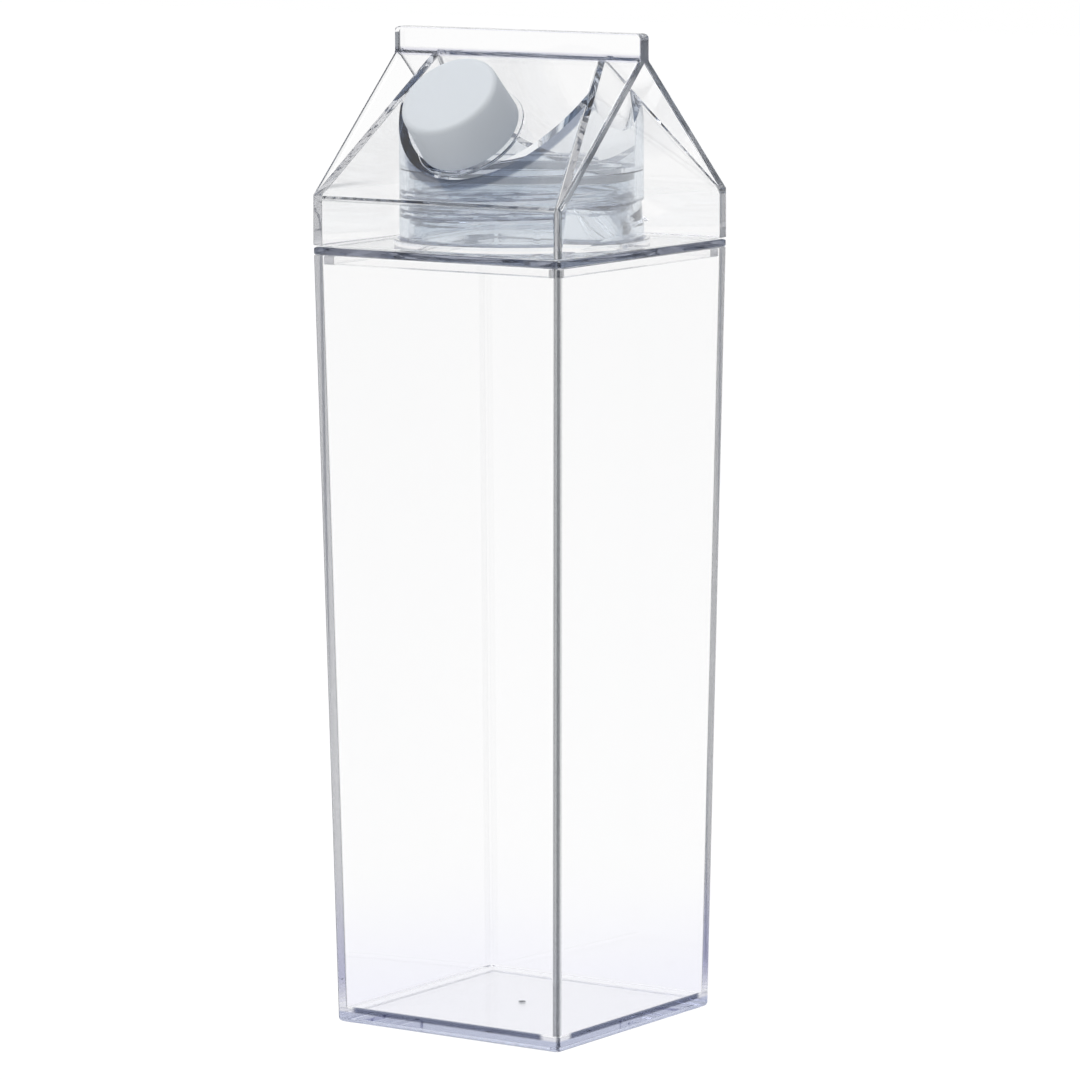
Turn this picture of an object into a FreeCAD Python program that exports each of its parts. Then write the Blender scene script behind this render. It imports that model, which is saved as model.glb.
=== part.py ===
"""Carton-shaped clear plastic bottle, as a parametric document.

A tapered square cup, a shoulder plate with a threaded neck, a gable-roofed lid
that screws onto the neck, a seal ring squeezed between neck and lid, and a
small white cap on the lid's slanted spout.  Millimetres, +Z up.  The origin is
the middle of the foot, the roof ridge runs along X and the spout faces -Y.
"""
import FreeCAD, Part
import os
import Sketcher
from FreeCAD import Rotation, Vector

# Driving sizes: alias, millimetres (or turns), and what it measures.
SIZES = (
    ("cup_base_width", 69.4, "outer width of the square cup at its foot"),
    ("cup_mouth_width", 76.2, "outer width at the cup's mouth, shared by plate and lid"),
    ("cup_height", 198.9, "from the foot to the cup's rim"),
    ("cup_wall", 2.0, "side wall"),
    ("cup_floor", 2.6, "floor, above the foot's recess"),
    ("cup_edge_round", 1.2, "outer radius of the upright edges of cup, plate and lid"),
    ("cup_bottom_round", 1.1, "outer radius around the foot"),
    ("cup_inner_round", 0.8, "radius of the cup's inner upright edges and of the plug"),
    ("foot_height", 0.8, "depth of the recess under the floor"),
    ("foot_width", 4.0, "width of the standing ring around that recess"),
    ("plate_thickness", 2.0, "shoulder plate on the rim"),
    ("plug_depth", 2.5, "reach of the plate's rim down into the cup"),
    ("plug_wall", 2.3, "thickness of that rim"),
    ("plug_clearance", 0.15, "gap between that rim and the cup's wall"),
    ("neck_bore_radius", 25.0, "mouth opening"),
    ("neck_wall", 1.8, "neck tube under the thread"),
    ("neck_height", 16.2, "neck above the shoulder plate"),
    ("stop_ring_width", 5.2, "raised ring around the neck's root"),
    ("stop_ring_height", 1.5, "height of that ring"),
    ("thread_pitch", 4.0, "rise of the lid's thread in one turn"),
    ("thread_depth", 1.2, "height of the neck's thread ridge"),
    ("thread_root", 1.8, "width of a ridge where it leaves the wall"),
    ("thread_crest", 0.8, "width of a ridge at its crest"),
    ("thread_lead_in", 3.6, "from the plate up to the start of the neck's thread"),
    ("thread_lead_out", 2.6, "from the end of that thread up to the rim"),
    ("thread_clearance", 0.4, "radial gap between a crest and the opposite wall"),
    ("collar_wall", 2.1, "lid's inner collar"),
    ("collar_gap", 0.3, "collar above the stop ring"),
    ("seal_thickness", 2.0, "seal ring"),
    ("seat_thickness", 1.5, "ring inside the collar that presses the seal"),
    ("lid_gap", 0.3, "open seam between plate and lid skirt"),
    ("skirt_height", 12.7, "upright part of the lid below the roof"),
    ("roof_rise", 36.8, "from the skirt's top to the ridge"),
    ("lid_wall", 2.0, "lid skirt"),
    ("roof_wall", 2.2, "roof panel, square to its face"),
    ("gusset_inset", 12.3, "how far the end panels lean in at the ridge"),
    ("gusset_wall", 2.0, "end panel, square to its face"),
    ("fin_height", 4.5, "bar above the ridge"),
    ("fin_thickness", 4.0, "thickness of that bar"),
    ("fin_round", 1.2, "radius of the bar's top corners"),
    ("spout_offset", 21.6, "from the neck's axis to the spout's root on the roof"),
    ("spout_bore_radius", 9.0, "pouring hole"),
    ("spout_wall", 1.6, "spout tube under its thread"),
    ("spout_height", 13.0, "spout above the roof"),
    ("spout_flange_lip", 1.1, "spout's root flange beyond the cap's skirt"),
    ("spout_flange_thickness", 0.8, "that flange above the roof"),
    ("spout_thread_pitch", 3.0, "rise of the cap's thread in one turn"),
    ("spout_thread_depth", 0.9, "height of the spout's thread ridge"),
    ("spout_thread_root", 1.3, "width of a small ridge at the wall"),
    ("spout_thread_crest", 0.5, "width of a small ridge at its crest"),
    ("spout_thread_lead_in", 3.0, "from the roof up to the start of the spout's thread"),
    ("spout_thread_lead_out", 4.0, "from the end of that thread up to the spout's rim"),
    ("cap_clearance", 0.3, "radial gap between a small crest and the opposite wall"),
    ("cap_foot_gap", 0.2, "cap above the spout's root flange"),
    ("cap_wall", 1.7, "cap skirt at its foot"),
    ("cap_draft", 0.5, "how much narrower the cap is at its top"),
    ("cap_top", 1.8, "cap's top disc"),
    ("cap_edge_round", 1.5, "radius of the cap's top edge"),
    ("sink", 0.3, "how deep a ridge or tube is rooted in the wall that carries it"),
)

# Heights and radii that several pieces share, as expressions over the sizes.
HALF = "(Sizes.cup_mouth_width / 2)"
FLOOR_TOP = "(Sizes.foot_height + Sizes.cup_floor)"
PLATE_TOP = "(Sizes.cup_height + Sizes.plate_thickness)"
NECK_RADIUS = "(Sizes.neck_bore_radius + Sizes.neck_wall)"
NECK_CREST = f"({NECK_RADIUS} + Sizes.thread_depth)"
NECK_TOP = f"({PLATE_TOP} + Sizes.neck_height)"
THREAD_FOOT = f"({PLATE_TOP} + Sizes.thread_lead_in)"
THREAD_RISE = "(Sizes.neck_height - Sizes.thread_lead_in - Sizes.thread_lead_out)"
HALF_TURN = "Sizes.thread_pitch / 2"
STOP_RADIUS = f"({NECK_RADIUS} + Sizes.stop_ring_width)"
SEAL_TOP = f"({NECK_TOP} + Sizes.seal_thickness)"
COLLAR_BORE = f"({NECK_CREST} + Sizes.thread_clearance)"
COLLAR_RADIUS = f"({COLLAR_BORE} + Sizes.collar_wall)"
COLLAR_FOOT = f"({PLATE_TOP} + Sizes.stop_ring_height + Sizes.collar_gap)"
LID_FOOT = f"({PLATE_TOP} + Sizes.lid_gap)"
FOLD = f"({LID_FOOT} + Sizes.skirt_height)"
RIDGE = f"({FOLD} + Sizes.roof_rise)"
FIN_TOP = f"({RIDGE} + Sizes.fin_height)"
SLOPE = f"(Sizes.roof_rise / {HALF})"
ROOF_DROP = f"(Sizes.roof_wall * sqrt(1 + {SLOPE} ^ 2))"
INNER_RIDGE = f"({RIDGE} - {ROOF_DROP})"
GUSSET_SHIFT = "(Sizes.gusset_wall * sqrt(1 + (Sizes.gusset_inset / Sizes.roof_rise) ^ 2))"
SPOUT_RADIUS = "(Sizes.spout_bore_radius + Sizes.spout_wall)"
SPOUT_THREAD_RISE = (
    "(Sizes.spout_height - Sizes.spout_thread_lead_in - Sizes.spout_thread_lead_out)"
)
SPOUT_HALF_TURN = "Sizes.spout_thread_pitch / 2"
CAP_BORE = f"({SPOUT_RADIUS} + Sizes.spout_thread_depth + Sizes.cap_clearance)"
CAP_RADIUS = f"({CAP_BORE} + Sizes.cap_wall)"
CAP_FOOT = "(Sizes.spout_flange_thickness + Sizes.cap_foot_gap)"
SPOUT_ROOT = (
    "0",
    "-Sizes.spout_offset",
    f"{FOLD} + ({HALF} - Sizes.spout_offset) * {SLOPE}",
)

UPRIGHT_XZ = Rotation(Vector(1, 0, 0), 90)
UPRIGHT_YZ = Rotation(Vector(1, 1, 1), 120)

doc = FreeCAD.newDocument("CartonBottle")


def make_sizes():
    """Put the driving sizes in a spreadsheet, one aliased cell each."""
    sheet = doc.addObject("Spreadsheet::Sheet", "Sizes")
    for row, (alias, value, meaning) in enumerate(SIZES, start=1):
        sheet.set(f"A{row}", meaning)
        sheet.set(f"B{row}", str(value))
        sheet.setAlias(f"B{row}", alias)
    doc.recompute()
    return sheet


def value_of(expression):
    """Number that an expression over the sizes gives now."""
    result = sheet.evalExpression(expression)
    return float(getattr(result, "Value", result))


def bind(thing, **expressions):
    """Bind properties to expressions; a double underscore stands for a dot."""
    for name, expression in expressions.items():
        thing.setExpression(name.replace("__", "."), expression)


def fix_point(sketch, line, corner):
    """Tie the start of one sketch line to a pair of expressions."""
    axes = (("DistanceX", corner[0], -2), ("DistanceY", corner[1], -1))
    for kind, expression, axis in axes:
        if expression == "0":
            sketch.addConstraint(Sketcher.Constraint("PointOnObject", line, 1, axis))
            continue
        distance = Sketcher.Constraint(kind, -1, 1, line, 1, value_of(expression))
        index = sketch.addConstraint(distance)
        sketch.setExpression(f"Constraints[{index}]", expression)


def draw_polygon(sketch, corners):
    """Closed outline through corners given as pairs of expressions."""
    points = [Vector(value_of(u), value_of(v), 0) for u, v in corners]
    first = sketch.GeometryCount
    count = len(points)
    for i in range(count):
        sketch.addGeometry(Part.LineSegment(points[i], points[(i + 1) % count]))
    for i in range(count):
        joint = Sketcher.Constraint("Coincident", first + i, 2, first + (i + 1) % count, 1)
        sketch.addConstraint(joint)
    for i, corner in enumerate(corners):
        fix_point(sketch, first + i, corner)


def draw_square(sketch, half):
    """Square about the sketch's origin, given half its width."""
    minus = f"-{half}"
    draw_polygon(sketch, ((minus, minus), (half, minus), (half, half), (minus, half)))


def draw_circle(sketch, radius):
    """Circle about the sketch's origin."""
    circle = Part.Circle(Vector(0, 0, 0), Vector(0, 0, 1), value_of(radius))
    index = sketch.addGeometry(circle)
    sketch.addConstraint(Sketcher.Constraint("Coincident", index, 3, -1, 1))
    size = sketch.addConstraint(Sketcher.Constraint("Radius", index, value_of(radius)))
    sketch.setExpression(f"Constraints[{size}]", radius)


def new_body(label):
    """Empty PartDesign body."""
    body = doc.addObject("PartDesign::Body", label)
    body.Label = label
    return body


def body_sketch(body, name, plane, height=None):
    """Sketch on one of the body's own planes, lifted by an expression."""
    sketch = body.newObject("Sketcher::SketchObject", name)
    support = next(item for item in body.Origin.OriginFeatures if item.Role == plane)
    sketch.AttachmentSupport = [(support, "")]
    sketch.MapMode = "FlatFace"
    if height:
        bind(sketch, AttachmentOffset__Base__z=height)
    return sketch


def pad(body, name, sketch, length, down=False, midplane=False):
    """Pad a sketch by an expression."""
    feature = body.newObject("PartDesign::Pad", name)
    feature.Profile = sketch
    feature.Reversed = down
    feature.Midplane = midplane
    bind(feature, Length=length)
    return feature


def pad_disc(body, name, radius, height, length):
    """Round pad about the body's axis, from a height upward."""
    sketch = body_sketch(body, f"{name}Sketch", "XY_Plane", height)
    draw_circle(sketch, radius)
    return pad(body, name, sketch, length)


def bore_out(body, name, radius, height, depth):
    """Round hole about the body's axis, cut downward from a height."""
    sketch = body_sketch(body, f"{name}Sketch", "XY_Plane", height)
    draw_circle(sketch, radius)
    feature = body.newObject("PartDesign::Pocket", name)
    feature.Profile = sketch
    bind(feature, Length=depth)
    return feature


def revolve(body, name, corners):
    """Turn an outline in the XZ plane about the body's axis."""
    sketch = body_sketch(body, f"{name}Sketch", "XZ_Plane")
    draw_polygon(sketch, corners)
    feature = body.newObject("PartDesign::Revolution", name)
    feature.Profile = sketch
    feature.ReferenceAxis = (sketch, ["V_Axis"])
    feature.Angle = 360
    return feature


def round_edges(body, name, base, radius, wanted):
    """Round the edges of a feature that a test picks out."""
    doc.recompute()
    names = [f"Edge{i}" for i, edge in enumerate(base.Shape.Edges, start=1) if wanted(edge)]
    feature = body.newObject("PartDesign::Fillet", name)
    feature.Base = (base, names)
    bind(feature, Radius=radius)
    return feature


def is_upright(edge):
    """True for a long edge that rises more than it runs."""
    box = edge.BoundBox
    return box.ZLength > 1.0 and box.ZLength > 2 * (box.XLength + box.YLength)


def lies_at(height):
    """Test for edges that lie in one level plane."""
    return lambda edge: abs(edge.BoundBox.ZMin - height) + abs(edge.BoundBox.ZMax - height) < 0.01


def frustum(body, kind, name, low, high, low_half, high_half):
    """Square frustum between two heights, added to or cut from the body."""
    wedge = body.newObject(f"PartDesign::{kind}Wedge", name)
    wedge.Placement.Rotation = UPRIGHT_XZ
    bind(wedge, Ymin=low, Ymax=high)
    bind(wedge, Xmin=f"-{low_half}", Xmax=low_half, Zmin=f"-{low_half}", Zmax=low_half)
    bind(wedge, X2min=f"-{high_half}", X2max=high_half, Z2min=f"-{high_half}", Z2max=high_half)
    return wedge


def thread(body, name, size, wall, crest, start, rise):
    """Helical ridge from a round wall to its crest radius, outward or inward.

    size is the stem of the sizes for its pitch and widths.
    """
    doc.recompute()
    sketch = body_sketch(body, f"{name}Sketch", "XZ_Plane")
    outward = value_of(crest) > value_of(wall)
    buried = f"({wall} - Sizes.sink)" if outward else f"({wall} + Sizes.sink)"
    corners = [
        (buried, f"{start} - Sizes.{size}_root / 2"),
        (crest, f"{start} - Sizes.{size}_crest / 2"),
        (crest, f"{start} + Sizes.{size}_crest / 2"),
        (buried, f"{start} + Sizes.{size}_root / 2"),
    ]
    draw_polygon(sketch, corners)
    helix = body.newObject("PartDesign::AdditiveHelix", name)
    helix.Profile = sketch
    helix.ReferenceAxis = (sketch, ["V_Axis"])
    helix.Mode = "pitch-height-angle"
    bind(helix, Pitch=f"Sizes.{size}_pitch", Height=rise)
    doc.recompute()


def outline_prism(name, rotation, corners, length):
    """Upright outline stretched both ways along its normal, as a free solid."""
    sketch = doc.addObject("Sketcher::SketchObject", f"{name}Sketch")
    sketch.Placement.Rotation = rotation
    draw_polygon(sketch, corners)
    prism = doc.addObject("Part::Extrusion", name)
    prism.Base = sketch
    prism.DirMode = "Normal"
    prism.Solid = True
    prism.Symmetric = True
    bind(prism, LengthFwd=length)
    return prism


def boolean(kind, name, **operands):
    """Part boolean of the named kind."""
    result = doc.addObject(f"Part::{kind}", name)
    for key, operand in operands.items():
        setattr(result, key, operand)
    return result


def make_cup():
    """Tapered square cup with a floor, a standing ring and rounded edges."""
    body = new_body("cup")
    base_half = "(Sizes.cup_base_width / 2)"
    rise = f"({FLOOR_TOP} / Sizes.cup_height)"
    floor_half = f"({base_half} + ({HALF} - {base_half}) * {rise} - Sizes.cup_wall)"
    mouth_half = f"({HALF} - Sizes.cup_wall)"
    outer = frustum(body, "Additive", "CupOutside", "0", "Sizes.cup_height", base_half, HALF)
    edges = round_edges(body, "CupEdges", outer, "Sizes.cup_edge_round", is_upright)
    round_edges(body, "CupFootEdge", edges, "Sizes.cup_bottom_round", lies_at(0))
    floor_top = value_of(FLOOR_TOP)
    inside = frustum(
        body, "Subtractive", "CupInside", FLOOR_TOP, "Sizes.cup_height", floor_half, mouth_half
    )

    def is_inner_upright(edge):
        return is_upright(edge) and abs(edge.BoundBox.ZMin - floor_top) < 0.01

    round_edges(body, "CupInnerEdges", inside, "Sizes.cup_inner_round", is_inner_upright)
    recess = body_sketch(body, "FootRecessSketch", "XY_Plane")
    draw_square(recess, f"({base_half} - Sizes.foot_width)")
    pocket = body.newObject("PartDesign::Pocket", "FootRecess")
    pocket.Profile = recess
    pocket.Reversed = True
    bind(pocket, Length="Sizes.foot_height")
    return body


def make_shoulder():
    """Plate on the cup's rim, with the plug below and the threaded neck above."""
    body = new_body("shoulder_neck")
    sketch = body_sketch(body, "PlateSketch", "XY_Plane", "Sizes.cup_height")
    draw_square(sketch, HALF)
    plate = pad(body, "Plate", sketch, "Sizes.plate_thickness")
    round_edges(body, "PlateEdges", plate, "Sizes.cup_edge_round", is_upright)
    plug_half = f"({HALF} - Sizes.cup_wall - Sizes.plug_clearance)"
    plug_sketch = body_sketch(body, "PlugSketch", "XY_Plane", "Sizes.cup_height")
    draw_square(plug_sketch, plug_half)
    plug = pad(body, "Plug", plug_sketch, "Sizes.plug_depth", down=True)
    below_rim = value_of("Sizes.cup_height") + 0.01

    def is_plug_edge(edge):
        return is_upright(edge) and edge.BoundBox.ZMax < below_rim

    round_edges(body, "PlugEdges", plug, "Sizes.cup_inner_round", is_plug_edge)
    hollow = body_sketch(body, "PlugHollowSketch", "XY_Plane", "Sizes.cup_height")
    draw_square(hollow, f"({plug_half} - Sizes.plug_wall)")
    pocket = body.newObject("PartDesign::Pocket", "PlugHollow")
    pocket.Profile = hollow
    bind(pocket, Length="Sizes.plug_depth")
    pad_disc(body, "StopRing", STOP_RADIUS, PLATE_TOP, "Sizes.stop_ring_height")
    pad_disc(body, "Neck", NECK_RADIUS, PLATE_TOP, "Sizes.neck_height")
    through = "Sizes.plate_thickness + Sizes.neck_height"
    bore_out(body, "NeckBore", "Sizes.neck_bore_radius", NECK_TOP, through)
    thread(body, "NeckThread", "thread", NECK_RADIUS, NECK_CREST, THREAD_FOOT, THREAD_RISE)
    return body


def make_seal():
    """Flat ring on the neck's rim, as wide as the neck with its thread."""
    body = new_body("seal_ring")
    inner = "Sizes.neck_bore_radius"
    corners = ((inner, NECK_TOP), (NECK_CREST, NECK_TOP), (NECK_CREST, SEAL_TOP), (inner, SEAL_TOP))
    revolve(body, "Seal", corners)
    return body


def make_end_wedges(name, shift, run_on):
    """Space outside both leaning end panels, moved inward by a shift.

    run_on is the share of a panel by which its plane carries on below the fold.
    """
    foot = f"{HALF} - {shift}"
    low = f"({foot} + {run_on} * Sizes.gusset_inset)"
    high = f"({foot} - Sizes.gusset_inset)"
    outside = f"({HALF} + Sizes.lid_wall)"
    low_height = f"({FOLD} - {run_on} * Sizes.roof_rise)"
    wedges = []
    for side, sign in (("Left", "-"), ("Right", "")):
        corners = [
            (f"{sign}{low}", low_height),
            (f"{sign}{outside}", low_height),
            (f"{sign}{outside}", RIDGE),
            (f"{sign}{high}", RIDGE),
        ]
        prism = outline_prism(f"{name}{side}", UPRIGHT_XZ, corners, "Sizes.cup_mouth_width")
        wedges.append(prism)
    return wedges


def make_lid_outside():
    """Lid as if solid: skirt and roof with rounded upright edges."""
    body = new_body("LidOutside")
    sketch = body_sketch(body, "LidOutsideSketch", "YZ_Plane")
    corners = [
        (f"-{HALF}", LID_FOOT),
        (HALF, LID_FOOT),
        (HALF, FOLD),
        ("0", RIDGE),
        (f"-{HALF}", FOLD),
    ]
    draw_polygon(sketch, corners)
    block = pad(body, "LidBlock", sketch, "Sizes.cup_mouth_width", midplane=True)
    fold = value_of(FOLD) + 0.01

    def is_skirt_edge(edge):
        return is_upright(edge) and edge.BoundBox.ZMax < fold

    round_edges(body, "LidBlockEdges", block, "Sizes.cup_edge_round", is_skirt_edge)
    under_half = f"(({INNER_RIDGE} - {FOLD}) / {SLOPE})"
    under = [(f"-{under_half}", FOLD), (under_half, FOLD), ("0", INNER_RIDGE)]
    length = "Sizes.cup_mouth_width + 2 * Sizes.lid_wall"
    under_roof = outline_prism("UnderRoof", UPRIGHT_YZ, under, length)
    outside = body
    for wedge in make_end_wedges("EndSpace", "0", "0"):
        recess = boolean("MultiCommon", f"Recess{wedge.Name}", Shapes=[under_roof, wedge])
        outside = boolean("Cut", f"LidWith{recess.Name}", Base=outside, Tool=recess)
    return outside


def make_lid_inside():
    """Hollow of the lid, between skirt walls, roof panels and end panels."""
    inner_half = f"({HALF} - Sizes.lid_wall)"
    eave = f"({INNER_RIDGE} - {inner_half} * {SLOPE})"
    corners = [
        (f"-{inner_half}", LID_FOOT),
        (inner_half, LID_FOOT),
        (inner_half, eave),
        ("0", INNER_RIDGE),
        (f"-{inner_half}", eave),
    ]
    inside = outline_prism("LidHollow", UPRIGHT_YZ, corners, f"2 * {inner_half}")
    for wedge in make_end_wedges("EndWall", GUSSET_SHIFT, "0.1"):
        inside = boolean("Cut", f"LidHollowTo{wedge.Name}", Base=inside, Tool=wedge)
    return inside


def make_collar():
    """Round collar inside the lid, with its own thread and the seal's seat."""
    body = new_body("Collar")
    height = f"{RIDGE} - {COLLAR_FOOT}"
    pad_disc(body, "CollarTube", COLLAR_RADIUS, COLLAR_FOOT, height)
    bore_out(body, "CollarUpper", "Sizes.neck_bore_radius", RIDGE, height)
    bore_out(body, "CollarLower", COLLAR_BORE, SEAL_TOP, f"{SEAL_TOP} - {COLLAR_FOOT}")
    seat_top = f"({SEAL_TOP} + Sizes.seat_thickness)"
    bore_out(body, "CollarOverSeat", COLLAR_BORE, RIDGE, f"{RIDGE} - {seat_top}")
    crest = f"({NECK_RADIUS} + Sizes.thread_clearance)"
    start = f"({THREAD_FOOT} + {HALF_TURN})"
    thread(body, "LidThread", "thread", COLLAR_BORE, crest, start, f"{THREAD_RISE} - {HALF_TURN}")
    return body


def stand_on_roof(body):
    """Place a body at the spout's root, square to the front roof panel."""
    x, y, z = SPOUT_ROOT
    bind(body, Placement__Base__x=x, Placement__Base__y=y, Placement__Base__z=z)
    body.Placement.Rotation = Rotation(Vector(1, 0, 0), 1)
    bind(body, Placement__Rotation__Angle=f"atan({SLOPE})")


def make_spout():
    """Spout tube with its root flange and thread, square to the roof panel."""
    body = new_body("Spout")
    rooted = "Sizes.roof_wall / 2"
    flange = f"({CAP_RADIUS} + Sizes.spout_flange_lip)"
    pad_disc(body, "SpoutFlange", flange, f"-{rooted}", f"{rooted} + Sizes.spout_flange_thickness")
    pad_disc(body, "SpoutTube", SPOUT_RADIUS, f"-{rooted}", f"{rooted} + Sizes.spout_height")
    crest = f"({SPOUT_RADIUS} + Sizes.spout_thread_depth)"
    foot = "Sizes.spout_thread_lead_in"
    thread(body, "SpoutThread", "spout_thread", SPOUT_RADIUS, crest, foot, SPOUT_THREAD_RISE)
    stand_on_roof(body)
    return body


def make_spout_hole():
    """Straight hole through the spout and the roof panel."""
    body = new_body("SpoutHole")
    depth = "1.2 * Sizes.roof_wall"
    length = f"{depth} + Sizes.spout_height"
    pad_disc(body, "SpoutBore", "Sizes.spout_bore_radius", f"-{depth}", length)
    stand_on_roof(body)
    return body


def make_fin():
    """Bar along the ridge, rooted in the roof, with rounded top corners."""
    body = new_body("RidgeFin")
    sketch = body_sketch(body, "FinSketch", "XZ_Plane")
    foot = f"({RIDGE} - Sizes.roof_wall)"
    draw_polygon(sketch, [(f"-{HALF}", foot), (HALF, foot), (HALF, FIN_TOP), (f"-{HALF}", FIN_TOP)])
    bar = pad(body, "FinBar", sketch, "Sizes.fin_thickness", midplane=True)
    top = value_of(FIN_TOP)

    def is_top_corner(edge):
        return lies_at(top)(edge) and edge.BoundBox.XLength < 0.01

    round_edges(body, "FinCorners", bar, "Sizes.fin_round", is_top_corner)
    return body


def make_lid():
    """One moulded piece: shell, collar, spout and ridge bar."""
    outside = make_lid_outside()
    shell = boolean("Cut", "LidShell", Base=outside, Tool=make_lid_inside())
    collar = boolean("MultiCommon", "CollarUnderRoof", Shapes=[make_collar(), outside])
    whole = boolean("MultiFuse", "LidWhole", Shapes=[shell, collar, make_fin(), make_spout()])
    return boolean("Cut", "gable_lid", Base=whole, Tool=make_spout_hole())


def make_cap():
    """White screw cap, its ceiling resting on the spout's rim."""
    body = new_body("spout_cap")
    top = "(Sizes.spout_height + Sizes.cap_top)"
    corners = [
        ("0", "Sizes.spout_height"),
        (CAP_BORE, "Sizes.spout_height"),
        (CAP_BORE, CAP_FOOT),
        (CAP_RADIUS, CAP_FOOT),
        (f"({CAP_RADIUS} - Sizes.cap_draft)", top),
        ("0", top),
    ]
    shell = revolve(body, "CapShell", corners)
    edge_height = value_of(top)
    round_edges(body, "CapEdge", shell, "Sizes.cap_edge_round", lies_at(edge_height))
    crest = f"({SPOUT_RADIUS} + Sizes.cap_clearance)"
    start = f"(Sizes.spout_thread_lead_in + {SPOUT_HALF_TURN})"
    rise = f"{SPOUT_THREAD_RISE} - {SPOUT_HALF_TURN}"
    thread(body, "CapThread", "spout_thread", CAP_BORE, crest, start, rise)
    stand_on_roof(body)
    return body


def check_document():
    """Stop if any object failed to rebuild."""
    for item in doc.Objects:
        if "Invalid" in item.State or "Error" in item.State:
            raise RuntimeError(f"{item.Name} did not rebuild: {item.State}")


def write_parts(parts):
    """Check each piece and write it to its own file."""
    os.makedirs("parts", exist_ok=True)
    for part in parts:
        shape = part.Shape
        if shape.isNull() or not shape.isValid() or len(shape.Solids) != 1:
            raise RuntimeError(f"{part.Label} is not one sound solid")
        shape.exportStep(f"parts/{part.Label}.step")
        print(f"{part.Label}: {shape.Volume / 1000:.2f} cm3, box {shape.BoundBox}")


sheet = make_sizes()
pieces = [make_cup(), make_shoulder(), make_seal(), make_lid(), make_cap()]
doc.recompute()
check_document()
write_parts(pieces)
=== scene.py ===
import math

import bmesh
import bpy
import numpy as np
from mathutils import Matrix, Vector


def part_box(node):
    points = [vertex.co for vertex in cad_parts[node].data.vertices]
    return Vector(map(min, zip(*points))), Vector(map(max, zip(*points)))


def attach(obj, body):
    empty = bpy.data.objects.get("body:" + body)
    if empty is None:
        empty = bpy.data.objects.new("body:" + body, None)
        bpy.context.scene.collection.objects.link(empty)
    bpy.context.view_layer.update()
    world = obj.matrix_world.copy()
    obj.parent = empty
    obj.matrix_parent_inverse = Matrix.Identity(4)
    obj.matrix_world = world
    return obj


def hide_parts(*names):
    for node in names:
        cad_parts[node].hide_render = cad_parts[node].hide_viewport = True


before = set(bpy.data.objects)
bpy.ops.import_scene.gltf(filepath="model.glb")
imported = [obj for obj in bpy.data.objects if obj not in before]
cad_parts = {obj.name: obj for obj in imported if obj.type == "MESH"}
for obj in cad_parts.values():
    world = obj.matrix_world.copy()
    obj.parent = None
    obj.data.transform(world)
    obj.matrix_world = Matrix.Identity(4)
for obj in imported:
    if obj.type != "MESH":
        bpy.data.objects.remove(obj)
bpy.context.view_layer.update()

# ---------------------------------------------------------------- sizes, in millimetres

MM = 0.001
AIR = 0.04  # left between two faces that rest on each other
TINY = 0.01  # two lengths closer than this are the same


def node_box(node):
    """Lowest and highest corner of a CAD node, in millimetres."""
    low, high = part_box(node)
    return np.array(low) / MM, np.array(high) / MM


_, cup_high = node_box("cup")
shoulder_low, shoulder_high = node_box("shoulder_neck")
lid_low, lid_high = node_box("gable_lid")
seal_low, seal_high = node_box("seal_ring")

HALF = cup_high[0]
CUP_RIM = cup_high[2]
PLUG_FOOT = shoulder_low[2]
NECK_TOP = shoulder_high[2]
SEAL_TOP = seal_high[2]
LID_FOOT = lid_low[2]
FIN_TOP = lid_high[2]

CUP_FOOT_HALF = 34.7
CUP_WALL = 2.0
FLOOR_UNDER = 0.8
FLOOR_TOP = 3.4
FOOT_WIDTH = 4.0
EDGE_ROUND = 1.2
FOOT_ROUND = 1.1
INNER_ROUND = 0.8
SOFT_EDGE = 0.3  # on the smaller moulded edges
RIM_EDGE = 0.35
PLATE_EDGE = 0.4

PLATE_TOP = CUP_RIM + 2.0
PLUG_OUTER = HALF - 2.15
PLUG_INNER = PLUG_OUTER - 2.3
NECK_BORE = 25.0
NECK_OUTER = 26.8
STOP_RADIUS = 32.0
STOP_TOP = PLATE_TOP + 1.5

NECK_THREAD = dict(pitch=4.0, root=1.8, crest=0.8, depth=1.2)
THREAD_FOOT, THREAD_HEAD = PLATE_TOP + 3.6, NECK_TOP - 2.6
THREAD_FADE = 70  # degrees over which a thread runs out at each end

FOLD = LID_FOOT + 12.7
RIDGE = FIN_TOP - 4.5
FIN_HALF = 2.0
FIN_CORNER, FIN_FILLET, FIN_EDGE = 2.0, 1.4, 0.5
SLOPE = (RIDGE - FOLD) / HALF
LEAN = math.atan(SLOPE)
ROOF_WALL = 2.2
ROOF_UNDER = RIDGE - ROOF_WALL / math.cos(LEAN)  # height where the roof's undersides meet
LID_WALL = 2.0
GUSSET_INSET = 12.3
GUSSET_SHIFT = 2.11
COLLAR_BORE, COLLAR_OUTER = 28.4, 30.5
COLLAR_FOOT = 202.7
SEAT_TOP = SEAL_TOP + 1.5

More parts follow.
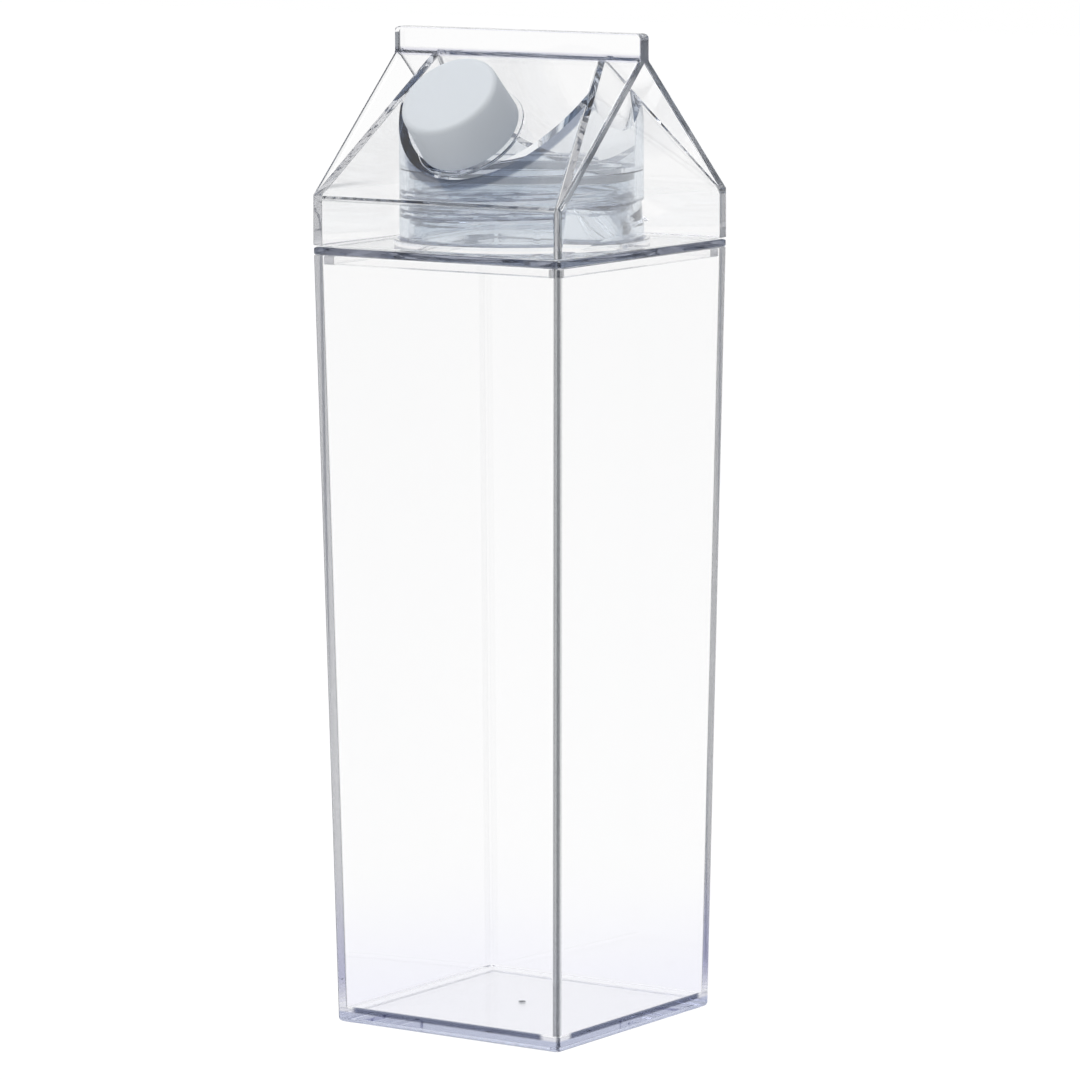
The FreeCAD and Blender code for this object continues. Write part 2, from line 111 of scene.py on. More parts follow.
SPOUT_OUT = 21.6
SPOUT_PLACE = Matrix.Translation((0, -SPOUT_OUT, RIDGE - SLOPE * SPOUT_OUT)) @ Matrix.Rotation(LEAN, 4, "X")
SPOUT_BORE, SPOUT_OUTER, SPOUT_HEIGHT = 9.0, 10.6, 13.0
SPOUT_SUNK, BORE_SUNK = -1.1, -2.64  # how deep spout and bore start in the roof
FLANGE_RADIUS, FLANGE_HEIGHT = 14.6, 0.8
SPOUT_THREAD = dict(pitch=3.0, root=1.3, crest=0.5, depth=0.9)
SPOUT_THREAD_FOOT, SPOUT_THREAD_HEAD = 3.0, SPOUT_HEIGHT - 4.0
CAP_BORE, CAP_FOOT_RADIUS, CAP_TOP_RADIUS = 11.8, 13.5, 13.0
CAP_FOOT, CAP_TOP = 1.0, 14.8
CAP_EDGE = 1.5
AXIS = 2.0  # half-width of the innermost ring round an axis, before the pole
NECK_GRID = dict(arc=11, flat=36)
SPOUT_GRID = dict(arc=7, flat=24)


# ---------------------------------------------------------------- surfaces

def soften(corners, steps=5, closed=False):
    """Profile rows (half-width, height, ring corner radius), with corners rounded.

    Each corner row ends in its rounding radius r. An arc of that radius touches both
    runs at r / tan(half the angle between them) from the corner, and its points turn
    evenly from one touching point to the other; the ring's own radius goes along, and
    a circle stays a circle.
    """
    rows = np.array(corners, float)
    count, out = len(rows), []
    for k, row in enumerate(rows):
        radius = row[3]
        if radius <= 0 or (not closed and k in (0, count - 1)):
            out.append(row[None, :3])
            continue
        to_last, to_next = rows[k - 1] - row, rows[(k + 1) % count] - row
        last_run, next_run = np.hypot(*to_last[:2]), np.hypot(*to_next[:2])
        a, b = to_last[:2] / last_run, to_next[:2] / next_run
        angle = math.acos(np.clip(a @ b, -1, 1))
        reach = radius / math.tan(angle / 2)
        touch = (row[:3] + to_last[:3] * reach / last_run,
                 row[:3] + to_next[:3] * reach / next_run)
        middle = row[:2] + (a + b) / np.hypot(*(a + b)) * radius / math.sin(angle / 2)
        turn, share = math.pi - angle, np.linspace(0, 1, steps + 1)[:, None]
        spokes = [end[:2] - middle for end in touch]
        arc = np.sin((1 - share) * turn) * spokes[0] + np.sin(share * turn) * spokes[1]
        arc = arc / math.sin(turn)
        ring = (1 - share) * touch[0][2] + share * touch[1][2]
        if all(abs(end[0] - end[2]) < 1e-6 for end in (row, *touch)):
            ring = (middle + arc)[:, :1]
        out.append(np.hstack([middle + arc, ring]))
    return np.vstack(out)


def rings(profile, arc=8, flat=4):
    """Rings round the upright axis, one for each profile row.

    A ring is a square with quarter-circle corners of the row's radius, joined by
    straight sides; where that radius equals the half-width it is a circle, with its
    points at even angles.
    """
    half, height, corner = (profile[:, k, None] for k in range(3))
    turns = np.radians(np.linspace(0, 90, arc + 1))
    along = np.linspace(0, 1, flat + 2)[1:-1]
    x = np.hstack([half - corner + corner * np.cos(turns), (half - corner) * (1 - 2 * along)])
    y = np.hstack([half - corner + corner * np.sin(turns), half + 0 * along])
    side = arc + 1 + flat
    angle = math.pi / 4 + (np.arange(side) - arc / 2) * math.pi / 2 / side
    is_round = corner >= half - 1e-6
    x = np.where(is_round, half * np.cos(angle), x)
    y = np.where(is_round, half * np.sin(angle), y)
    across = np.concatenate([np.stack(quarter, 2) for quarter in ((x, y), (-y, x), (-x, -y), (y, -x))], 1)
    return np.concatenate([across, np.broadcast_to(height[..., None], across.shape[:2] + (1,))], 2)


def thread_depth(height, angle, start, end, pitch, root, crest, depth):
    """How far a right-handed thread stands out, at each height and angle.

    Its centre line climbs one pitch a turn from start to end. Across it the height is
    a trapezium, root wide at its foot and crest wide at its top, and at both ends it
    eases in and out by e * e * (3 - 2 e), with e from 0 to 1 over the fade's degrees.
    """
    climb = pitch * (angle % (2 * math.pi)) / (2 * math.pi)
    turn = np.round((height - start - climb) / pitch)
    line = start + climb + turn * pitch
    flank = np.clip((root / 2 - np.abs(height - line)) / ((root - crest) / 2), 0, 1)
    run = pitch * THREAD_FADE / 360
    ends = np.clip((line - start) / run, 0, 1) * np.clip((end - line) / run, 0, 1)
    return depth * flank * ends * ends * (3 - 2 * ends)


def threaded(points, first, count, low, high, outward, thread):
    """Rings with a thread standing out (1) or in (-1) on count rows from the first on.

    A point at radius r moves to r plus or minus the thread's depth at its height and
    angle. All other rows stay where they are.
    """
    x, y, z = points[..., 0], points[..., 1], points[..., 2]
    radius = np.hypot(x, y)
    stand = thread_depth(z, np.arctan2(y, x), low, high, **thread)
    factor = 1 + outward * stand / np.maximum(radius, 1)
    row = np.arange(len(points))
    on_wall = (row >= first) & (row < first + count)
    return np.where(on_wall[:, None, None], np.stack([x * factor, y * factor, z], 2), points)


def held(profile, gap=0.15):
    """The profile with a row close to both ends of each long run, so that flats shade flat.

    A run from a to b longer than six gaps gets the rows a + (b - a) g / l and
    b - (b - a) g / l, where g is the gap and l the run's length.
    """
    a, b = profile[:-1], profile[1:]
    run = np.hypot(*(b - a)[:, :2].T)[:, None]
    share = gap / np.maximum(run, 1e-9)
    rows = np.stack([a, a + (b - a) * share, b - (b - a) * share], 1)
    keep = np.stack([run[:, 0] > 0, run[:, 0] > 6 * gap, run[:, 0] > 6 * gap], 1)
    return np.vstack([rows[keep], profile[-1:]])


def wall_rows(radius, low, high, step=0.2):
    """Closely spaced rows up (or down) a round wall, for a thread."""
    heights = np.linspace(low, high, int(abs(high - low) / step) + 1)[1:-1]
    return np.stack([0 * heights + radius, heights, 0 * heights + radius], 1)


def with_wall(profile, radius, low, high):
    """The profile with closely spaced rows after its corner at this radius and low height.

    Returns the first new row's number, the profile and the number of new rows.
    """
    corner = np.isclose(profile[:, 0], radius) & np.isclose(profile[:, 1], low)
    first = np.flatnonzero(corner)[0] + 1
    rows = wall_rows(radius, low, high)
    return first, np.vstack([profile[:first], rows, profile[first:]]), len(rows)


def skin(points, closed):
    """Points and faces of a surface through rings: a ring of rings, or closed by poles."""
    rows, columns = points.shape[:2]
    i, j = np.meshgrid(np.arange(rows if closed else rows - 1), np.arange(columns), indexing="ij")
    above, beside = (i + 1) % rows, (j + 1) % columns
    lower, upper = i * columns, above * columns
    quads = np.stack([lower + j, lower + beside, upper + beside, upper + j], 2)
    flat = points.reshape(-1, 3)
    faces = quads.reshape(-1, 4).tolist()
    if not closed:
        poles = points[[0, -1]].mean(1)
        k = np.arange(columns)
        turned, first, last = (k + 1) % columns, rows * columns, (rows - 1) * columns
        faces += np.stack([turned, k, 0 * k + first], 1).tolist()
        faces += np.stack([last + k, last + turned, 0 * k + first + 1], 1).tolist()
        flat = np.vstack([flat, poles])
    return flat, faces


def piece(name, points, faces, place=None):
    """A mesh object at the origin from points in millimetres, its faces smooth."""
    mesh = bpy.data.meshes.new(name)
    points = np.asarray(points, float)
    if place is not None:
        matrix = np.array(place)
        points = points @ matrix[:3, :3].T + matrix[:3, 3]
    mesh.from_pydata((points * MM).tolist(), [], faces)
    mesh.polygons.foreach_set("use_smooth", np.ones(len(mesh.polygons), bool))
    mesh.update()
    made = bpy.data.objects.new(name, mesh)
    bpy.context.scene.collection.objects.link(made)
    return made


def even_shading(made, angle=40):
    """Edges steeper than the angle stay crisp, and each flat keeps one direction."""
    made.data.set_sharp_from_angle(angle=math.radians(angle))
    smoother = made.modifiers.new("even shading", "WEIGHTED_NORMAL")
    smoother.keep_sharp = True
    smoother.weight = 100


def apply_modifiers(made):
    """Replace a body's mesh by what its modifiers make of it."""
    bpy.context.view_layer.update()
    finished = made.evaluated_get(bpy.context.evaluated_depsgraph_get())
    mesh = bpy.data.meshes.new_from_object(finished)
    made.modifiers.clear()
    made.data = mesh


def face_outwards(made):
    """Join points that coincide and turn every face outwards."""
    bm = bmesh.new()
    bm.from_mesh(made.data)
    bmesh.ops.remove_doubles(bm, verts=bm.verts, dist=1e-6)
    bmesh.ops.recalc_face_normals(bm, faces=bm.faces)
    bm.to_mesh(made.data)
    bm.free()


def combine(made, operation, other):
    """Add, subtract or intersect a closed body, which is then removed."""
    tool = made.modifiers.new("combine", "BOOLEAN")
    tool.operation, tool.object, tool.solver = operation, other, "EXACT"
    apply_modifiers(made)
    bpy.data.objects.remove(other)


def bevel_edges(made, widths, steps=4):
    """Round the edges of a body: widths gives the size in mm for each edge's two ends."""
    bm = bmesh.new()
    bm.from_mesh(made.data)
    layer = bm.edges.layers.float.new("bevel_weight_edge")
    widest = FIN_CORNER
    for edge in bm.edges:
        ends = [np.array(v.co) / MM for v in edge.verts]
        edge[layer] = widths(*ends) / widest
    bm.to_mesh(made.data)
    bm.free()
    rounder = made.modifiers.new("rounded edges", "BEVEL")
    rounder.limit_method = "WEIGHT"
    rounder.width = widest * MM
    rounder.segments = steps
    apply_modifiers(made)


# ---------------------------------------------------------------- the pieces

def make_cup():
    """Square cup: out from the middle of the foot, up outside, over the rim and down inside."""
    rim = CUP_RIM - AIR
    inner_foot = CUP_FOOT_HALF + (HALF - CUP_FOOT_HALF) * FLOOR_TOP / CUP_RIM - CUP_WALL
    profile = soften([
        (1.0, FLOOR_UNDER, 1.0, 0),
        (CUP_FOOT_HALF - FOOT_WIDTH, FLOOR_UNDER, 1.0, SOFT_EDGE),
        (CUP_FOOT_HALF - FOOT_WIDTH, 0, 1.0, SOFT_EDGE),
        (CUP_FOOT_HALF, 0, EDGE_ROUND, FOOT_ROUND),
        (HALF, rim, EDGE_ROUND, RIM_EDGE),
        (HALF - CUP_WALL, rim, INNER_ROUND, RIM_EDGE),
        (inner_foot, FLOOR_TOP, INNER_ROUND, INNER_ROUND),
        (1.0, FLOOR_TOP, 1.0, 0),
    ])
    return piece("clear_cup", *skin(rings(profile), closed=False))


def make_shoulder():
    """Square plate, its plug below and the threaded neck above, as one ring of rings."""
    loop = soften([
        (PLUG_INNER, PLUG_FOOT, INNER_ROUND, SOFT_EDGE),
        (PLUG_OUTER, PLUG_FOOT, 1.0, SOFT_EDGE),
        (PLUG_OUTER, CUP_RIM, 1.0, 0),
        (HALF, CUP_RIM, EDGE_ROUND, PLATE_EDGE),
        (HALF, PLATE_TOP, EDGE_ROUND, PLATE_EDGE),
        (STOP_RADIUS, PLATE_TOP, STOP_RADIUS, 0),
        (STOP_RADIUS, STOP_TOP, STOP_RADIUS, 0.25),
        (NECK_OUTER, STOP_TOP, NECK_OUTER, 0),
        (NECK_OUTER, NECK_TOP, NECK_OUTER, SOFT_EDGE),
        (NECK_BORE, NECK_TOP, NECK_BORE, SOFT_EDGE),
        (NECK_BORE, CUP_RIM, NECK_BORE, SOFT_EDGE),
        (PLUG_INNER, CUP_RIM, INNER_ROUND, 0),
    ], closed=True)
    first, profile, count = with_wall(loop, NECK_OUTER, STOP_TOP, NECK_TOP - SOFT_EDGE)
    points = rings(profile, **NECK_GRID)
    points = threaded(points, first, count, THREAD_FOOT, THREAD_HEAD, 1, NECK_THREAD)
    return piece("clear_shoulder_and_neck", *skin(points, closed=True))


def make_seal():
    """Flat silicone ring with soft edges."""
    low, high = seal_low[2] + AIR, SEAL_TOP - AIR
    inner, outer = NECK_BORE, seal_high[0]
    loop = soften([
        (inner, low, inner, RIM_EDGE), (outer, low, outer, RIM_EDGE),
        (outer, high, outer, RIM_EDGE), (inner, high, inner, RIM_EDGE),
    ], closed=True)
    return piece("silicone_seal_ring", *skin(rings(loop, arc=11, flat=20), closed=True))


def tent(name, half, foot, ridge, gusset_foot):
    """Closed body under a gable roof with both ends leaning in.

    The roof planes fall from the ridge at the lid's slope to the upright walls, and
    each end plane leans in from gusset_foot = (x, z) by the inset over the roof's rise.
    """
    lean = GUSSET_INSET / (RIDGE - FOLD)
    x0, z0 = gusset_foot
    meet = z0 + (x0 - half) / lean
    edge = (ridge - meet) / SLOPE
    top = x0 - lean * (ridge - z0)
    eave = ridge - SLOPE * half
    quarter = [(half, half, foot), (half, half, eave), (half, edge, meet), (top, 0, ridge)]
    sign = np.array([(1, 1, 1), (-1, 1, 1), (-1, -1, 1), (1, -1, 1)])
    points = (np.array(quarter)[None] * sign[:, None]).reshape(-1, 3)
    # the base, eave, gusset and ridge point of each quarter
    b, e, g, i = (range(k, 16, 4) for k in range(4))
    faces = [
        [b[3], b[2], b[1], b[0]],
        [b[0], b[1], e[1], e[0]],
        [b[2], b[3], e[3], e[2]],
        [b[3], b[0], e[0], g[0], g[3], e[3]],
        [b[1], b[2], e[2], g[2], g[1], e[1]],
        [g[3], g[0], i[0]],
        [g[1], g[2], i[1]],
        [e[0], e[1], g[1], i[1], i[0], g[0]],
        [e[2], e[3], g[3], i[0], i[1], g[2]],
    ]
    body = piece(name, points, faces)
    face_outwards(body)
    return body


def lid_hull():
    """Lid as if solid: skirt, roof with its ridge bar, and the space under both roof ends."""
    under_half = (ROOF_UNDER - FOLD) / SLOPE
    apex = HALF - GUSSET_INSET * (ROOF_UNDER - FOLD) / (RIDGE - FOLD)
    fin_foot = RIDGE - SLOPE * FIN_HALF
    end = np.array([
        (HALF, -HALF, LID_FOOT), (HALF, HALF, LID_FOOT), (HALF, HALF, FOLD),
        (HALF, FIN_HALF, fin_foot), (HALF, FIN_HALF, FIN_TOP),
        (HALF, -FIN_HALF, FIN_TOP), (HALF, -FIN_HALF, fin_foot), (HALF, -HALF, FOLD),
        (HALF, -under_half, FOLD), (HALF, under_half, FOLD), (HALF, 0, ROOF_UNDER), (apex, 0, ROOF_UNDER),
    ])
    points = np.vstack([end, end * (-1, 1, 1)])
    m = len(end)
    right = [
        [0, 1, 2, 9, 8, 7],
        [2, 3, 4, 5, 6, 7, 8, 10, 9],
        [8, 9, 11],
        [8, 11, 10],
        [9, 10, 11],
    ]
    faces = right + [[k + m for k in reversed(face)] for face in right]
    ring = [0, 7, 6, 5, 4, 3, 2, 1]
    faces += [[a, b, b + m, a + m] for a, b in zip(ring, ring[1:] + ring[:1])]
    hull = piece("lid", points, faces)
    face_outwards(hull)

    def widths(a, b):
        """The rounding of the edge from a to b; the fold and the gusset's apex stay sharp."""
        def both_at(height):
            return abs(a[2] - height) < TINY and abs(b[2] - height) < TINY

        upright = abs(a[2] - b[2]) > 1 and np.hypot(*(a - b)[:2]) < TINY
        if upright and max(a[2], b[2]) < FOLD + 0.1:
            return EDGE_ROUND
        on_end = abs(abs(a[0]) - HALF) < TINY and abs(abs(b[0]) - HALF) < TINY
        if both_at(FIN_TOP):
            return FIN_CORNER if on_end and a[0] * b[0] > 0 else FIN_EDGE
        if both_at(fin_foot) and a[0] * b[0] < 0:
            return FIN_FILLET
        if np.isclose(abs(a[0]), apex) or np.isclose(abs(b[0]), apex) or both_at(FOLD):
            return 0.0
        return RIM_EDGE

    bevel_edges(hull, widths)
    return hull


def make_lid():
    """One moulded lid: shell, collar with its thread and seat, spout and the hole through it."""
    lid = lid_hull()
    below = LID_FOOT - 5  # the hollow starts well under the skirt
    hollow = tent("hollow", HALF - LID_WALL, below, ROOF_UNDER, (HALF - GUSSET_SHIFT, FOLD))
    bevel_edges(hollow, lambda a, b: 0.6 if min(a[2], b[2]) > LID_FOOT or abs(a[2] - b[2]) > 1 else 0.0)
    combine(lid, "DIFFERENCE", hollow)

    r, s, n = COLLAR_BORE, COLLAR_OUTER, NECK_BORE
    above = RIDGE + 5  # the collar is cut off in the middle of the roof's wall
    outline = soften([
        (r, COLLAR_FOOT, r, SOFT_EDGE), (s, COLLAR_FOOT, s, SOFT_EDGE), (s, above, s, 0), (r, above, r, 0),
        (r, SEAT_TOP, r, 0), (n, SEAT_TOP, n, 0.2), (n, SEAL_TOP, n, 0.2), (r, SEAL_TOP, r, 0),
    ], closed=True)
    rows = wall_rows(r, SEAL_TOP, COLLAR_FOOT + SOFT_EDGE)
    points = rings(np.vstack([outline, rows]), **NECK_GRID)
    half_turn = NECK_THREAD["pitch"] / 2
    points = threaded(points, len(outline), len(rows), THREAD_FOOT + half_turn, THREAD_HEAD, -1, NECK_THREAD)
    collar = piece("collar", *skin(points, closed=True))
    middle = RIDGE - ROOF_WALL / 2 / math.cos(LEAN)
    room = tent("room", HALF - LID_WALL / 2, below, middle, (HALF - GUSSET_SHIFT / 2, FOLD))
    combine(collar, "INTERSECT", room)
    combine(lid, "UNION", collar)

    f, t, b = FLANGE_RADIUS, SPOUT_OUTER, SPOUT_BORE
    outline = soften([
        (AXIS, SPOUT_SUNK, AXIS, 0), (f, SPOUT_SUNK, f, 0), (f, FLANGE_HEIGHT, f, SOFT_EDGE),
        (t, FLANGE_HEIGHT, t, 0), (t, SPOUT_HEIGHT, t, SOFT_EDGE), (AXIS, SPOUT_HEIGHT, AXIS, 0),
    ])
    first, profile, count = with_wall(outline, t, FLANGE_HEIGHT, SPOUT_HEIGHT - SOFT_EDGE)
    points = rings(profile, **SPOUT_GRID)
    points = threaded(points, first, count, SPOUT_THREAD_FOOT, SPOUT_THREAD_HEAD, 1, SPOUT_THREAD)
    combine(lid, "UNION", piece("spout", *skin(points, closed=False), SPOUT_PLACE))
    past = SPOUT_HEIGHT + 2
    core = np.array([(AXIS, BORE_SUNK, AXIS), (b, BORE_SUNK, b), (b, past, b), (AXIS, past, AXIS)])
    bore = piece("bore", *skin(rings(core, **SPOUT_GRID), closed=False), SPOUT_PLACE)
    combine(lid, "DIFFERENCE", bore)
    lid.name = "clear_gable_lid"
    return lid


def make_cap():
    """White cap: from the middle of its ceiling down the inside and up the outside."""
    r, s, t = CAP_BORE, CAP_FOOT_RADIUS, CAP_TOP_RADIUS
    ceiling = SPOUT_HEIGHT + AIR
    outline = soften([
        (AXIS, ceiling, AXIS, 0), (r, ceiling, r, SOFT_EDGE), (r, CAP_FOOT, r, 0.25),
        (s, CAP_FOOT, s, SOFT_EDGE), (t, CAP_TOP, t, CAP_EDGE), (AXIS, CAP_TOP, AXIS, 0),
    ], steps=8)
    return piece("white_spout_cap", *skin(rings(held(outline), arc=11, flat=24), closed=False), SPOUT_PLACE)


# ---------------------------------------------------------------- materials

RESIN_INDEX, SILICONE_INDEX, POLYPROPYLENE_INDEX = 1.57, 1.41, 1.49
POLISHED, PANEL_END = 0.015, 0.3  # roughness of the resin's faces and of its panel ends
BOUNCES = 40
LONG_WAY = 28.0  # after this many bounces a ray goes straight on
THROUGH_CAP = 0.22  # share of the light that comes through the cap's wall
FLOOR_GLOW, FLOOR_SHARE = 1.12, 0.85  # the floor's own white, and how much of it is seen
ROOM_LIGHT, SEEN_LIGHT = 0.58, 1.0  # the world as it lights things, and as it is seen


def linear(hex_colour):
    """An sRGB hex colour as linear RGBA."""
    parts = [int(hex_colour[k:k + 2], 16) / 255 for k in (1, 3, 5)]
    return [p / 12.92 if p <= 0.04045 else ((p + 0.055) / 1.055) ** 2.4 for p in parts] + [1.0]


def add_node(tree, kind, settings=None, inputs=None, **links):
    """Add a node with its settings, unlinked input values and links to other sockets."""
    node = tree.nodes.new(kind)
    for key, value in (settings or {}).items():
        setattr(node, key, value)
    for key, value in (inputs or {}).items():
        node.inputs[key].default_value = value
    for key, socket in links.items():
        name = key.replace("_", " ")
        slot = node.inputs[int(key[1:])] if key[1:].isdigit() else node.inputs[name]
        tree.links.new(socket, slot)
    return node


def new_material(name):
    """An empty node material and its tree."""
    material = bpy.data.materials.new(name)
    material.use_nodes = True
    material.node_tree.nodes.clear()
    return material, material.node_tree


def clear_moulded_resin():
    """Clear SAN resin, injection moulded in a polished mould.

    Glass-like, so the flat walls almost vanish. Where light turns round a corner or runs
    along inside a wall, upright corners, the plate's edge, the floor's edge and the
    threaded collar show grey and grey-blue lines, and these lines are painted shade. The
    end faces of the roof panels are less polished, and their even grey is painted shade
    too. Each mask below picks one such place, by millimetres from the middle and by which
    way the face turns, and its colour is what a ray keeps each time it meets the face
    there; only the gate mark is a real mark of the resin.
    """
    material, tree = new_material("clear_moulded_SAN_resin")
    place = add_node(tree, "ShaderNodeTexCoord")
    surface = add_node(tree, "ShaderNodeNewGeometry")
    weight = add_node(tree, "ShaderNodeLayerWeight", inputs={"Blend": 0.5})

    def combined(operation, first, second):
        """One operation on two sockets or numbers."""
        plain = {k: v for k, v in ((0, first), (1, second)) if isinstance(v, (int, float))}
        links = {f"i{k}": v for k, v in ((0, first), (1, second)) if k not in plain}
        return add_node(tree, "ShaderNodeMath", {"operation": operation}, plain, **links).outputs[0]

    def every(*masks):
        """The product of several masks."""
        product = masks[0]
        for mask in masks[1:]:
            product = combined("MULTIPLY", product, mask)
        return product

    def rising(value, low, high):
        """0 below low, 1 above high and smooth between."""
        return add_node(tree, "ShaderNodeMapRange", {"interpolation_type": "SMOOTHSTEP"},
                        {"From Min": low, "From Max": high}, Value=value).outputs[0]

    def falling(value, low, high):
        """1 below low and 0 above high."""
        return combined("SUBTRACT", 1.0, rising(value, low, high))

    def parts_of(vector):
        """The three parts of a vector without their signs."""
        plain = add_node(tree, "ShaderNodeVectorMath", {"operation": "ABSOLUTE"}, i0=vector)
        return add_node(tree, "ShaderNodeSeparateXYZ", i0=plain.outputs[0]).outputs

    turn = parts_of(place.outputs["Normal"])
    millimetres = add_node(tree, "ShaderNodeVectorMath", {"operation": "SCALE"}, {"Scale": 1 / MM},
                           i0=place.outputs["Object"])
    x, y, z = parts_of(millimetres.outputs[0])
    inside = surface.outputs["Backfacing"]
    outside = combined("SUBTRACT", 1.0, inside)
    grazing = weight.outputs["Facing"]
    reach, other = combined("MAXIMUM", x, y), combined("MINIMUM", x, y)
    radius = combined("SQRT", combined("ADD", combined("MULTIPLY", x, x), combined("MULTIPLY", y, y)), 0.0)

    # the cup's half-width at this height
    half = add_node(tree, "ShaderNodeMapRange", inputs={
        "From Min": 0.0, "From Max": CUP_RIM, "To Min": CUP_FOOT_HALF, "To Max": HALF}, Value=z).outputs[0]
    # painted shade: grey lines along the upright corners; a corner's outer arc counts on the way in and its
    # inner arc on the way out
    arc_start = combined("SUBTRACT", combined("MULTIPLY", half, 2.0), 2.6)
    on_outer = combined("GREATER_THAN", combined("ADD", x, y), arc_start)
    right_way = combined("ABSOLUTE", combined("SUBTRACT", on_outer, inside), 0.0)
    corner = every(rising(combined("MULTIPLY", combined("MULTIPLY", turn[0], turn[1]), 2.0), 0.4, 1.0),
                   combined("GREATER_THAN", reach, STOP_RADIUS + 0.5), right_way)
    # painted shade: a grey-blue line along the plate's outer edge
    plate_edge_painted_shade = every(outside, rising(z, CUP_RIM, CUP_RIM + 0.3), falling(z, PLATE_TOP - 0.2, PLATE_TOP),
                       rising(reach, HALF - 0.4, HALF - 0.2))

    # painted shade at the foot: a dark line where the floor meets the wall and a pale band below it
    on_face = rising(combined("SUBTRACT", half, reach), 0.6, 0.3)
    floor_line_painted_shade = every(outside, on_face, rising(z, 2.6, 3.1), falling(z, 4.1, 4.6),
                       falling(other, 28.5, 30.5))
    foot_band_painted_shade = every(outside, on_face, falling(z, 2.6, 3.2))
    # painted shade: the upright walls a little darker towards the bottom
    painted_shade_low_wall = every(falling(z, 2.0, 40.0), falling(turn[2], 0.2, 0.3))
    gate_mark = every(falling(radius, 0.8, 1.2), falling(z, FLOOR_TOP + 0.1, FLOOR_TOP + 0.3))

    # painted shade on the roof: lines under its eaves and along its ridge, and the grey of its panels' end
    # faces, whose extra roughness is real
    eave_line_painted_shade = every(inside, rising(z, FOLD - 1.9, FOLD - 1.5), falling(z, FOLD - 0.9, FOLD - 0.5),
                      rising(turn[2], 0.1, 0.3), falling(turn[2], 0.55, 0.69), rising(y, 34.0, 35.0))
    ridge_line_painted_shade = every(rising(z, RIDGE - 5.0, RIDGE - 4.5), rising(turn[1], 0.71, 0.80),
                       falling(turn[1], 0.95, 0.995))
    # painted shade: the even grey of the panels' end faces, darker from inside; their roughness below is
    # real
    panel_end = every(rising(z, FOLD + 0.5, FOLD + 1.5), rising(turn[0], 0.97, 0.99),
                      rising(x, HALF - 0.8, HALF - 0.5))
    rough_end_outside_painted_shade, end_inside_painted_shade = every(panel_end, outside), every(panel_end, inside)

    # painted shade on neck and collar: threads, round walls, and the band where the collar meets the roof
    in_collar = every(falling(radius, STOP_RADIUS - 1.2, STOP_RADIUS - 0.8),
                      rising(z, PLATE_TOP + 0.1, PLATE_TOP + 0.3), falling(z, RIDGE - 5.0, RIDGE - 4.5))
    low_collar = every(in_collar, falling(z, SEAT_TOP + 0.3, SEAT_TOP + 0.8))
    thread = every(low_collar, rising(turn[2], 0.2, 0.6))
    off_axis = rising(radius, NECK_BORE - 0.5, NECK_BORE - 0.2)
    upright = falling(turn[2], 0.1, 0.3)
    round_wall_painted_shade = every(in_collar, off_axis, upright)
    roof_under = combined("SUBTRACT", ROOF_UNDER, combined("MULTIPLY", y, SLOPE))
    collar_top_painted_shade = every(in_collar, outside, rising(radius, 29.3, 29.6), upright,
                       falling(combined("SUBTRACT", roof_under, z), 2.2, 3.2),
                       falling(grazing, 0.55, 0.8))

    # painted shade where light is reflected inside a wall: a little is taken at each reflection
    trapped_painted_shade = every(inside, rising(grazing, 0.225, 0.30))
    in_round_painted_shade = every(trapped_painted_shade, in_collar, off_axis)

    tint = None
    # every colour below but the gate mark's is painted shade, multiplied onto a slightly grey base
    for mask, colour in (
        (painted_shade_low_wall, "#FBFBFD"), (trapped_painted_shade, "#FDFDFD"), (in_round_painted_shade, "#F3F5F8"), (corner, "#A2A4A7"),
        (plate_edge_painted_shade, "#A0A4B0"), (floor_line_painted_shade, "#7E8498"), (foot_band_painted_shade, "#D6DBEA"), (eave_line_painted_shade, "#E2E3E4"),
        (ridge_line_painted_shade, "#EDEDF2"), (rough_end_outside_painted_shade, "#C8CACD"), (end_inside_painted_shade, "#90949A"), (thread, "#D6D9E0"),
        (round_wall_painted_shade, "#F7F9FB"), (collar_top_painted_shade, "#A0A8B8"), (gate_mark, "#707478"),
    ):
        clean = "#FDFDFD" if tint is None else "#FFFFFF"
        shade = add_node(tree, "ShaderNodeMix", {"data_type": "RGBA"},
                         {6: linear(clean), 7: linear(colour)}, i0=mask)
        tint = shade.outputs[2] if tint is None else add_node(
            tree, "ShaderNodeMix", {"data_type": "RGBA", "blend_type": "MULTIPLY"}, {0: 1.0},
            i6=tint, i7=shade.outputs[2]).outputs[2]
    polish = add_node(tree, "ShaderNodeMapRange", inputs={"To Min": POLISHED, "To Max": PANEL_END},
                      Value=rough_end_outside_painted_shade)
    glass = add_node(tree, "ShaderNodeBsdfGlass", inputs={"IOR": RESIN_INDEX},
                     Color=tint, Roughness=polish.outputs[0])
    clear = add_node(tree, "ShaderNodeBsdfTransparent", inputs={"Color": linear("#F4F6F9")})
    path = add_node(tree, "ShaderNodeLightPath")
    either = combined("MAXIMUM", path.outputs["Is Shadow Ray"], path.outputs["Is Diffuse Ray"])
    long_way = combined("GREATER_THAN", path.outputs["Ray Depth"], LONG_WAY)
    passing = combined("MAXIMUM", either, long_way)
    mixed = add_node(tree, "ShaderNodeMixShader", i0=passing, i1=glass.outputs[0], i2=clear.outputs[0])
    body = add_node(tree, "ShaderNodeVolumeAbsorption", inputs={"Color": linear("#8C96BC"), "Density": 2.5})
    add_node(tree, "ShaderNodeOutputMaterial", Surface=mixed.outputs[0], Volume=body.outputs[0])
    return material


def milky_silicone():
    """Clear-white silicone rubber, moulded: a soft grey, slightly see-through band."""
    material, tree = new_material("milky_moulded_silicone")
    rubber = add_node(tree, "ShaderNodeBsdfPrincipled", inputs={
        "Base Color": linear("#DDDFE4"), "Roughness": 0.45, "IOR": SILICONE_INDEX,
        "Transmission Weight": 0.6})
    add_node(tree, "ShaderNodeOutputMaterial", Surface=rubber.outputs[0])
    return material


